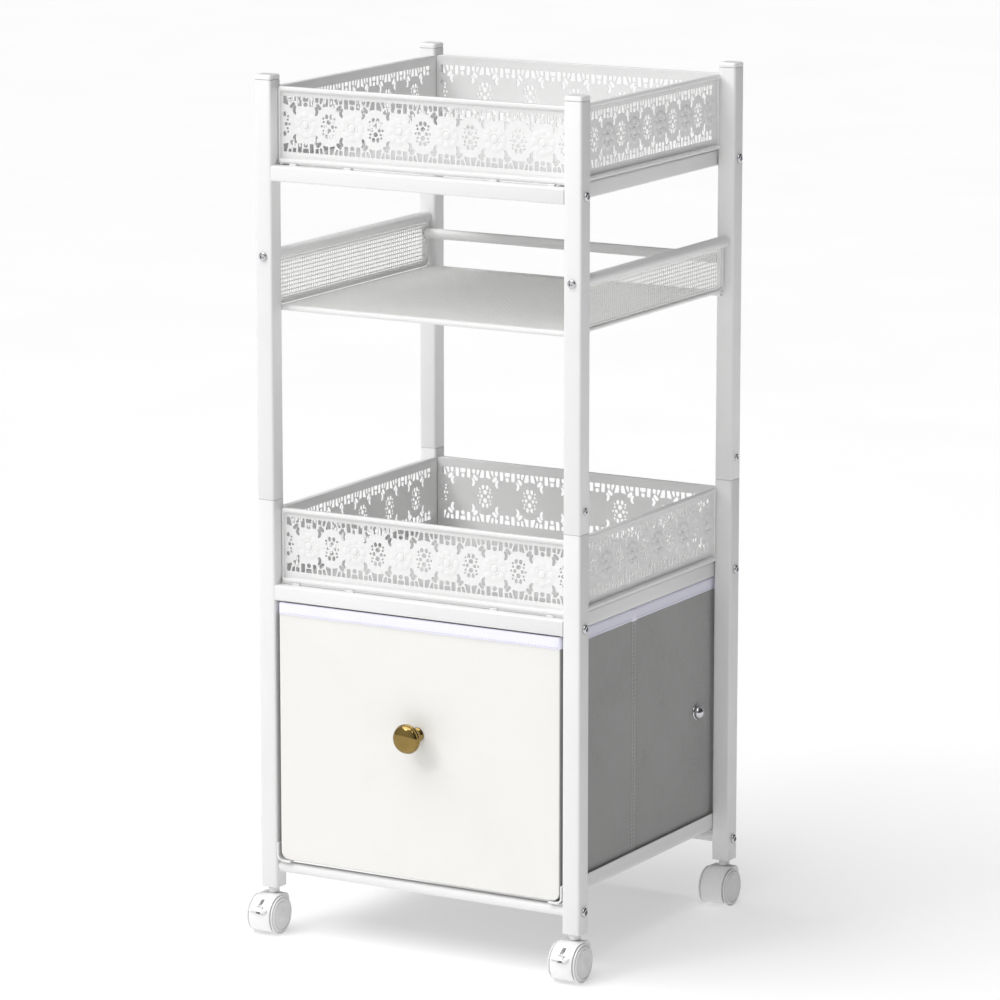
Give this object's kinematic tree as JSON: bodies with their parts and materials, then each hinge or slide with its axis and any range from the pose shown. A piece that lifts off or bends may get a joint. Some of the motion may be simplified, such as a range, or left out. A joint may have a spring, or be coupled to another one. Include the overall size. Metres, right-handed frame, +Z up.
{
  "type": "rolling storage cart",
  "caption": "Slim rolling cart with two pierced-gallery trays, a mesh basket, a fabric drawer and swivel casters.",
  "frame": {"origin": "centre of the bounding box on the floor, between the casters", "axes": "+Z up, -Y towards the front where the drawer opens, +X to the right seen from the front"},
  "size_m": [0.391, 0.3766, 0.9],
  "materials": {
    "white_steel": "fine white powder coat, satin",
    "cap_plastic": "moulded white plastic, satin",
    "tray_white": "white coat, smooth satin",
    "mesh_white": "white powder-coated mesh",
    "caster_white": "glossy moulded white plastic",
    "wheel_white": "glossy moulded white plastic",
    "bare_steel": "bright zinc",
    "grey_fabric": "grey non-woven fabric over board",
    "front_fabric": "off-white cloth over stiff board",
    "floor_board": "grey-covered hardboard",
    "gold_knob": "polished gold plating"
  },
  "bodies": {
    "root": {"post_lower_fl": "white_steel", "post_lower_fr": "white_steel", "post_lower_rl": "white_steel", "post_lower_rr": "white_steel", "post_upper_fl": "white_steel", "post_upper_fr": "white_steel", "post_upper_rl": "white_steel", "post_upper_rr": "white_steel", "post_cap_fl": "cap_plastic", "post_cap_fr": "cap_plastic", "post_cap_rl": "cap_plastic", "post_cap_rr": "cap_plastic", "stem_socket_fl": "cap_plastic", "stem_socket_fr": "cap_plastic", "stem_socket_rl": "cap_plastic", "stem_socket_rr": "cap_plastic", "caster_stem_fl": "bare_steel", "caster_stem_fr": "bare_steel", "caster_stem_rl": "bare_steel", "caster_stem_rr": "bare_steel", "top_frame": "white_steel", "middle_frame": "white_steel", "bottom_frame": "white_steel", "top_tray_deck": "tray_white", "middle_tray_deck": "tray_white", "top_gallery_front": "tray_white", "top_gallery_rear": "tray_white", "top_gallery_left": "tray_white", "top_gallery_right": "tray_white", "middle_gallery_front": "tray_white", "middle_gallery_rear": "tray_white", "middle_gallery_left": "tray_white", "middle_gallery_right": "tray_white", "basket_frame": "white_steel", "basket_floor_mesh": "mesh_white", "basket_side_mesh_left": "mesh_white", "basket_side_mesh_right": "mesh_white"},
    "drawer": {"drawer_box": "grey_fabric", "drawer_front": "front_fabric", "drawer_floor_board": "floor_board", "drawer_knob": "gold_knob", "knob_screw": "bare_steel"},
    "caster_swivel_fl": {"caster_hood_fl": "caster_white", "caster_axle_fl": "bare_steel"},
    "wheel_fl_left": {"caster_wheel_fl_left": "wheel_white"},
    "wheel_fl_right": {"caster_wheel_fl_right": "wheel_white"},
    "brake_fl": {"brake_lever_fl": "caster_white"},
    "caster_swivel_fr": {"caster_hood_fr": "caster_white", "caster_axle_fr": "bare_steel"},
    "wheel_fr_left": {"caster_wheel_fr_left": "wheel_white"},
    "wheel_fr_right": {"caster_wheel_fr_right": "wheel_white"},
    "brake_fr": {"brake_lever_fr": "caster_white"},
    "caster_swivel_rl": {"caster_hood_rl": "caster_white", "caster_axle_rl": "bare_steel"},
    "wheel_rl_left": {"caster_wheel_rl_left": "wheel_white"},
    "wheel_rl_right": {"caster_wheel_rl_right": "wheel_white"},
    "caster_swivel_rr": {"caster_hood_rr": "caster_white", "caster_axle_rr": "bare_steel"},
    "wheel_rr_left": {"caster_wheel_rr_left": "wheel_white"},
    "wheel_rr_right": {"caster_wheel_rr_right": "wheel_white"}
  },
  "joints": [
    {"name": "drawer_slide", "type": "slide", "parent": "root", "child": "drawer", "axis": [0, -1, 0], "range_m": [0, 0.268]},
    {"name": "swivel_fl", "type": "hinge", "parent": "root", "child": "caster_swivel_fl", "pos_m": [-0.18, -0.15025, 0.045], "axis": [0, 0, 1], "continuous": true},
    {"name": "wheel_spin_fl_left", "type": "hinge", "parent": "caster_swivel_fl", "child": "wheel_fl_left", "pos_m": [-0.1907, -0.16025, 0.02], "axis": [1, 0, 0], "continuous": true},
    {"name": "wheel_spin_fl_right", "type": "hinge", "parent": "caster_swivel_fl", "child": "wheel_fl_right", "pos_m": [-0.1693, -0.16025, 0.02], "axis": [1, 0, 0], "continuous": true},
    {"name": "brake_press_fl", "type": "hinge", "parent": "caster_swivel_fl", "child": "brake_fl", "pos_m": [-0.18, -0.17225, 0.0297], "axis": [1, 0, 0], "range_deg": [0, 12]},
    {"name": "swivel_fr", "type": "hinge", "parent": "root", "child": "caster_swivel_fr", "pos_m": [0.18, -0.15025, 0.045], "axis": [0, 0, 1], "continuous": true},
    {"name": "wheel_spin_fr_left", "type": "hinge", "parent": "caster_swivel_fr", "child": "wheel_fr_left", "pos_m": [0.1693, -0.16025, 0.02], "axis": [1, 0, 0], "continuous": true},
    {"name": "wheel_spin_fr_right", "type": "hinge", "parent": "caster_swivel_fr", "child": "wheel_fr_right", "pos_m": [0.1907, -0.16025, 0.02], "axis": [1, 0, 0], "continuous": true},
    {"name": "brake_press_fr", "type": "hinge", "parent": "caster_swivel_fr", "child": "brake_fr", "pos_m": [0.18, -0.17225, 0.0297], "axis": [1, 0, 0], "range_deg": [0, 12]},
    {"name": "swivel_rl", "type": "hinge", "parent": "root", "child": "caster_swivel_rl", "pos_m": [-0.18, 0.17775, 0.045], "axis": [0, 0, 1], "continuous": true},
    {"name": "wheel_spin_rl_left", "type": "hinge", "parent": "caster_swivel_rl", "child": "wheel_rl_left", "pos_m": [-0.1907, 0.16775, 0.02], "axis": [1, 0, 0], "continuous": true},
    {"name": "wheel_spin_rl_right", "type": "hinge", "parent": "caster_swivel_rl", "child": "wheel_rl_right", "pos_m": [-0.1693, 0.16775, 0.02], "axis": [1, 0, 0], "continuous": true},
    {"name": "swivel_rr", "type": "hinge", "parent": "root", "child": "caster_swivel_rr", "pos_m": [0.18, 0.17775, 0.045], "axis": [0, 0, 1], "continuous": true},
    {"name": "wheel_spin_rr_left", "type": "hinge", "parent": "caster_swivel_rr", "child": "wheel_rr_left", "pos_m": [0.1693, 0.16775, 0.02], "axis": [1, 0, 0], "continuous": true},
    {"name": "wheel_spin_rr_right", "type": "hinge", "parent": "caster_swivel_rr", "child": "wheel_rr_right", "pos_m": [0.1907, 0.16775, 0.02], "axis": [1, 0, 0], "continuous": true}
  ]
}
